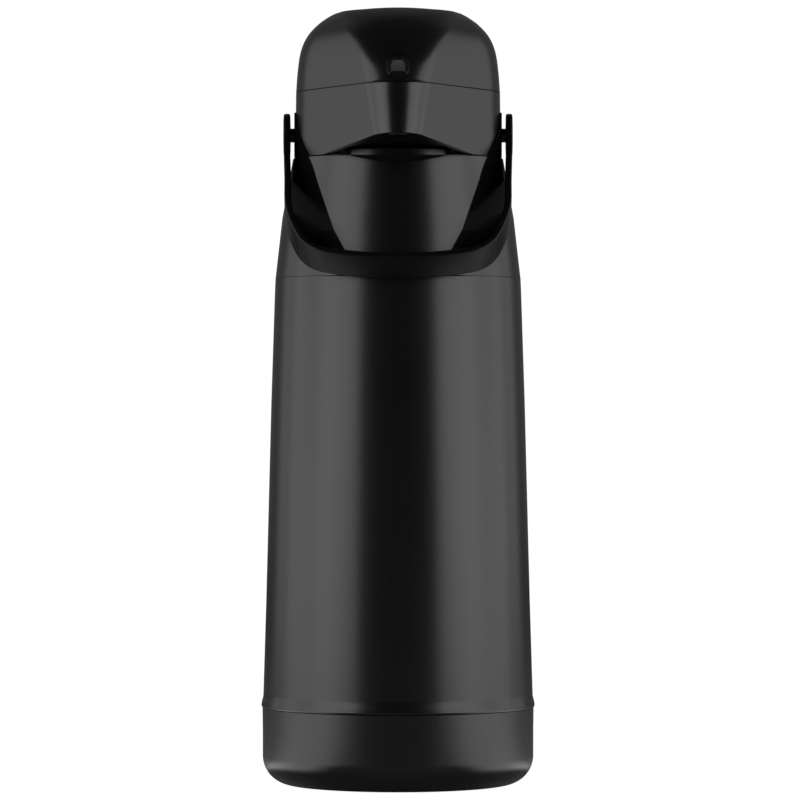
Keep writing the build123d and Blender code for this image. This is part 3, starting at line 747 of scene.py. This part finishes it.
def plastic(name, colour, rough, grain, bump=0.04, shine=SATIN_SHINE):
    """Moulded plastic: fine grain in bump, and slow wear in roughness and colour."""
    material = bpy.data.materials.new(name)
    material.use_nodes = True
    nodes = material.node_tree.nodes
    links = material.node_tree.links
    shader = nodes["Principled BSDF"]
    place = nodes.new("ShaderNodeTexCoord")
    slow = nodes.new("ShaderNodeTexNoise")
    slow.inputs["Scale"].default_value = WEAR_SCALE
    slow.inputs["Detail"].default_value = WEAR_DETAIL
    fine = nodes.new("ShaderNodeTexNoise")
    fine.inputs["Scale"].default_value = grain
    fine.inputs["Detail"].default_value = GRAIN_DETAIL
    spread = nodes.new("ShaderNodeMapRange")
    spread.inputs["To Min"].default_value = rough - WEAR_ROUGH
    spread.inputs["To Max"].default_value = rough + WEAR_ROUGH
    tint = nodes.new("ShaderNodeMix")
    tint.data_type = "RGBA"
    tint.inputs["A"].default_value = (*[c * WEAR_DARK for c in colour], 1)
    tint.inputs["B"].default_value = (*[c * WEAR_PALE for c in colour], 1)
    relief = nodes.new("ShaderNodeBump")
    relief.inputs["Strength"].default_value = bump
    relief.inputs["Distance"].default_value = RELIEF_DEPTH
    links.new(place.outputs["Object"], slow.inputs["Vector"])
    links.new(place.outputs["Object"], fine.inputs["Vector"])
    links.new(slow.outputs["Fac"], spread.inputs["Value"])
    links.new(slow.outputs["Fac"], tint.inputs["Factor"])
    links.new(fine.outputs["Fac"], relief.inputs["Height"])
    links.new(spread.outputs["Result"], shader.inputs["Roughness"])
    links.new(tint.outputs["Result"], shader.inputs["Base Color"])
    links.new(relief.outputs["Normal"], shader.inputs["Normal"])
    shader.inputs["Specular IOR Level"].default_value = shine
    return material


def metal(name, colour, rough):
    """Drawn or silvered metal with fine streaks."""
    material = plastic(name, colour, rough, METAL_GRAIN, METAL_BUMP)
    material.node_tree.nodes["Principled BSDF"].inputs["Metallic"].default_value = 1.0
    return material


def paint_cheek_shade(material):
    """Paints shade on the cut-away cheeks beside the shield, down to behind the bail: their shine is
    turned down so they look dull and dark.
    """
    tree = material.node_tree
    shader = tree.nodes["Principled BSDF"]
    place = tree.nodes.new("ShaderNodeTexCoord").outputs["Object"]
    split = tree.nodes.new("ShaderNodeSeparateXYZ")
    tree.links.new(place, split.inputs["Vector"])
    half = math_node(tree, "ABSOLUTE", split.outputs["X"], 0.0)
    height = split.outputs["Z"]
    upper = ramp(tree, height, CHEEK_BEND, CHEEK_TOP, SHIELD_BEND_HALF, SHIELD_TOP_HALF)
    lower = ramp(tree, height, CHEEK_FOOT, CHEEK_BEND, SHIELD_FOOT_HALF, SHIELD_BEND_HALF)
    edge = math_node(tree, "ADD", math_node(tree, "ADD", upper, lower), -SHIELD_BEND_HALF)
    outside = ramp(tree, math_node(tree, "SUBTRACT", half, edge), *CHEEK_EDGE, 0.0, 1.0)
    swell = math_node(tree, "POWER", math_node(tree, "DIVIDE", half, CHEEK_SPAN), CHEEK_CURVE)
    foot = math_node(tree, "MULTIPLY", swell, CHEEK_LIFT)
    above = math_node(tree, "SUBTRACT", math_node(tree, "ADD", height, -CHEEK_LOW), foot)
    top = ramp(tree, above, 0.0, CHEEK_FADE, 0.0, 1.0)
    front = ramp(tree, split.outputs["Y"], 0.0, CHEEK_BACK, 1.0, 0.0)
    painted_shade = math_node(tree, "MULTIPLY", math_node(tree, "MULTIPLY", outside, top), front)
    # Painted shade: across the cheeks the shine falls from the satin level to CHEEK_SHINE
    shine = ramp(tree, painted_shade, 0.0, 1.0, SATIN_SHINE, CHEEK_SHINE)
    tree.links.new(shine, shader.inputs["Specular IOR Level"])
    return material


def dress(materials):
    """Gives every CAD node the material of its kind."""
    kinds = {entry["node"]: entry["material_slot"] for entry in frame["record"]["subparts"]}
    for node, obj in frame["nodes"].items():
        obj.data.materials.clear()
        obj.data.materials.append(materials["collar" if node == "collar" else kinds[node]])


def make_body(material):
    """The tapered body with its bead, standing for the CAD shell."""
    low = BASE_TOP + SEAM_GAP
    profile = [(BASE_RADIUS - SHELL_WALL, low), (BASE_RADIUS + SEAM_SWELL, low)]
    profile += arc((BEAD_RADIUS - BEAD_ROUND, BEAD_HEIGHT), BEAD_ROUND, *BEAD_ARC, BEAD_STEPS)
    flare = BODY_OUTLINE[0][0] * MM
    start = BEAD_HEIGHT + FLARE_START
    for step in range(1, FLARE_STEPS):
        share = step / FLARE_STEPS
        ease = (1 + cos(pi * share)) / 2
        radius = flare + ease * (BEAD_RADIUS - SEAM_SWELL - flare)
        profile.append((radius, start + share * (FLARE_TOP - start)))
    for step in range(BODY_STEPS + 1):
        height = FLARE_TOP + (COLLAR_SEAM - SEAM_EDGE - FLARE_TOP) * step / BODY_STEPS
        profile.append((outline_radius(height), height))
    top = outline_radius(COLLAR_SEAM)
    profile.append((top, COLLAR_SEAM + SEAM_RISE))
    profile.append((top - SHELL_WALL, COLLAR_SEAM + SEAM_RISE))
    piece = lathe("body_skin", profile)
    return finish_piece(piece, material, "root", "body_shell")


def make_base(material):
    """The base cup with its large rounding and resting ring, standing for the CAD cup."""
    profile = [(AXIS_HOLE, BASE_FLOOR), (AXIS_HOLE, REST_DEPTH), (REST_RING, REST_DEPTH), (REST_RING, 0.0)]
    middle = (BASE_WAIST - BASE_ROUNDING, BASE_ROUNDING)
    profile += arc(middle, BASE_ROUNDING, -0.5, 0.0, ROUNDING_STEPS)
    profile += [(BASE_WAIST + WAIST_SWELL, BASE_SHOULDER), (BASE_RADIUS + SEAM_SWELL, BASE_TOP)]
    profile.append((BASE_RADIUS - SHELL_WALL, BASE_TOP))
    hollow = BASE_ROUNDING - SHELL_WALL
    centre = (BASE_WAIST - BASE_ROUNDING, BASE_FLOOR + hollow)
    profile += list(reversed(arc(centre, hollow, -0.5, 0.0, HOLLOW_STEPS)))
    piece = lathe("base_skin", profile)
    pockets = []
    for turn in range(4):
        angle = pi / 4 + turn * pi / 2
        place = (FOOT_CIRCLE * cos(angle), FOOT_CIRCLE * sin(angle))
        pockets.append(rod("foot_pocket", -1.0, REST_DEPTH / MM, place, FOOT_POCKET, "Z"))
    cut(piece, pockets)
    return finish_piece(piece, material, "root", "base_cup")


def finish_piece(piece, material, body, *nodes, slot="black_plastic"):
    """Gives a new piece its material, its body and the nodes that it stands for; its slot argument is not
    used.
    """
    piece.data.materials.append(material)
    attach(piece, body)
    if nodes:
        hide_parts(*nodes)
    return piece


def glow(name, near, ahead, beside):
    """Stage white: a glow for camera and transmission rays, a little dimmer near the object as painted
    shade, and a fainter one for glossy rays, a painted reflection that is brightest beside the object, dim
    ahead and behind, with a painted shadow at the object's foot.
    """
    material = bpy.data.materials.new(name)
    material.use_nodes = True
    tree = material.node_tree
    shader = tree.nodes["Principled BSDF"]
    shader.inputs["Base Color"].default_value = STAGE_GREY
    shader.inputs["Roughness"].default_value = STAGE_ROUGH
    shader.inputs["Specular IOR Level"].default_value = 0.0
    path = tree.nodes.new("ShaderNodeLightPath")
    place = tree.nodes.new("ShaderNodeTexCoord").outputs["Object"]
    length = tree.nodes.new("ShaderNodeVectorMath")
    length.operation = "LENGTH"
    tree.links.new(place, length.inputs[0])
    away = length.outputs["Value"]
    aim = tree.nodes.new("ShaderNodeVectorMath")
    aim.operation = "NORMALIZE"
    tree.links.new(place, aim.inputs[0])
    split = tree.nodes.new("ShaderNodeSeparateXYZ")
    tree.links.new(aim.outputs["Vector"], split.inputs["Vector"])
    seen = math_node(tree, "MAXIMUM", path.outputs["Is Camera Ray"], path.outputs["Is Transmission Ray"])
    white = math_node(tree, "MULTIPLY", seen, ramp(tree, away, NEAR_FLOOR, FAR_FLOOR, near, 1.0))
    # Painted light: for glossy rays the glow is brighter to the sides, fainter ahead and behind, and
    # almost gone at the object's foot as a painted shadow
    sideways = ramp(tree, math_node(tree, "ABSOLUTE", split.outputs["X"], 0.0), *SIDE_AIM, ahead, beside)
    forward = ramp(tree, split.outputs["Y"], *FRONT_AIM, 1.0, REAR_SHARE)
    clear = ramp(tree, away, *FOOT_SHADE, FOOT_SHARE, 1.0)
    shine = math_node(tree, "MULTIPLY", math_node(tree, "MULTIPLY", sideways, forward), clear)
    painted_glow = math_node(tree, "MULTIPLY", path.outputs["Is Glossy Ray"], shine)
    strength = math_node(tree, "ADD", white, painted_glow)
    emission = tree.nodes.new("ShaderNodeEmission")
    emission.inputs["Color"].default_value = (1, 1, 1, 1)
    tree.links.new(strength, emission.inputs["Strength"])
    add = tree.nodes.new("ShaderNodeAddShader")
    tree.links.new(shader.outputs[0], add.inputs[0])
    tree.links.new(emission.outputs[0], add.inputs[1])
    tree.links.new(add.outputs[0], tree.nodes["Material Output"].inputs["Surface"])
    return material


def plane(name, corners, material):
    """A flat stage quad."""
    mesh = bpy.data.meshes.new(name)
    mesh.from_pydata(corners, [], [(0, 1, 2, 3)])
    obj = link(bpy.data.objects.new(name, mesh))
    mesh.materials.append(material)
    return obj


def make_stage():
    """Pale floor and white backdrop."""
    w = STAGE_HALF
    z = -FLOOR_DROP
    # The floor's glow is painted light: a little dimmer near the object for the camera, and for
    # reflections bright beside it and dark at its foot
    floor = glow("floor_white", near=0.96, ahead=0.04, beside=1.7)
    wall = glow("backdrop_white", near=1.0, ahead=1.0, beside=1.0)
    plane("floor", [(-w, -w, z), (w, -w, z), (w, w, z), (-w, w, z)], floor)
    y = BACKDROP
    low = BACKDROP_FOOT
    high = BACKDROP_TOP
    plane("backdrop", [(-w, y, low), (w, y, low), (w, y, high), (-w, y, high)], wall)


def area_light(name, place, target, size, size_y, power):
    """A soft box that faces a target."""
    data = bpy.data.lights.new(name, "AREA")
    data.shape = "RECTANGLE"
    data.size = size
    data.size_y = size_y
    data.energy = power
    obj = link(bpy.data.objects.new(name, data))
    obj.location = place
    obj.rotation_euler = (Vector(target) - Vector(place)).to_track_quat("-Z", "Y").to_euler()
    return obj


def make_lights():
    """A long tall wall of soft boxes at each side, leaving a dark strip straight ahead."""
    for side in (-1, 1):
        for place, (front, back, glow_level) in enumerate(SOFT_BOXES):
            name = ("soft_box_left_" if side < 0 else "soft_box_right_") + str(place + 1)
            wide = back - front
            middle = (front + back) / 2
            height = BOX_TOP - BOX_FOOT
            centre = (BOX_FOOT + BOX_TOP) / 2
            power = glow_level * pi * wide * height
            area_light(name, (side * BOX_SIDE, middle, centre), (0, middle, centre), wide, height, power)
    world = bpy.data.worlds.new("studio")
    world.use_nodes = True
    world.node_tree.nodes["Background"].inputs["Color"].default_value = WORLD_GREY
    world.node_tree.nodes["Background"].inputs["Strength"].default_value = 1.0
    bpy.context.scene.world = world


def make_camera():
    """Level camera straight in front, at mid height."""
    data = bpy.data.cameras.new("camera")
    data.lens = LENS
    data.sensor_width = SENSOR
    obj = link(bpy.data.objects.new("camera", data))
    obj.location = (CAMERA_SIDE, -CAMERA_DISTANCE, CAMERA_HEIGHT)
    obj.rotation_euler = (pi / 2, 0, 0)
    bpy.context.scene.camera = obj


make_camera()
bpy.context.scene.view_settings.view_transform = "Standard"
black = plastic("black_plastic_satin", BLACK, rough=SATIN_ROUGH, grain=MOULD_GRAIN)
rubber = plastic("dark_rubber", (0.03, 0.03, 0.03), rough=0.7, grain=500.0, bump=0.1)
steel = metal("drawn_steel", (0.55, 0.55, 0.56), rough=0.3)
inner = plastic("inner_dark_plastic", (0.03, 0.03, 0.032), rough=0.4, grain=600.0)
dress({
    "black_plastic": black,
    # The collar's material carries painted shade on its cheeks beside the shield
    "collar": paint_cheek_shade(plastic("collar_satin_painted_shade", BLACK, rough=SATIN_ROUGH, grain=MOULD_GRAIN)),
    "rubber": rubber,
    "steel": steel,
    "silvered_glass": metal("silvered_glass_face", (0.75, 0.75, 0.77), rough=0.08),
    "inner_plastic": inner,
})
make_body(black)
make_base(black)
make_lid(black)
make_head(black)
make_knuckles(black)
make_latch(black)
make_nozzle(inner)
make_pump_springs(rubber, steel)
# The bail takes a copy of the satin black with its shine cut to about a quarter: painted shade that
# darkens the bail's face
make_bail(plastic("bail_satin_painted_shade", BLACK, rough=0.3, grain=MOULD_GRAIN, shine=0.13))
make_stage()
make_lights()
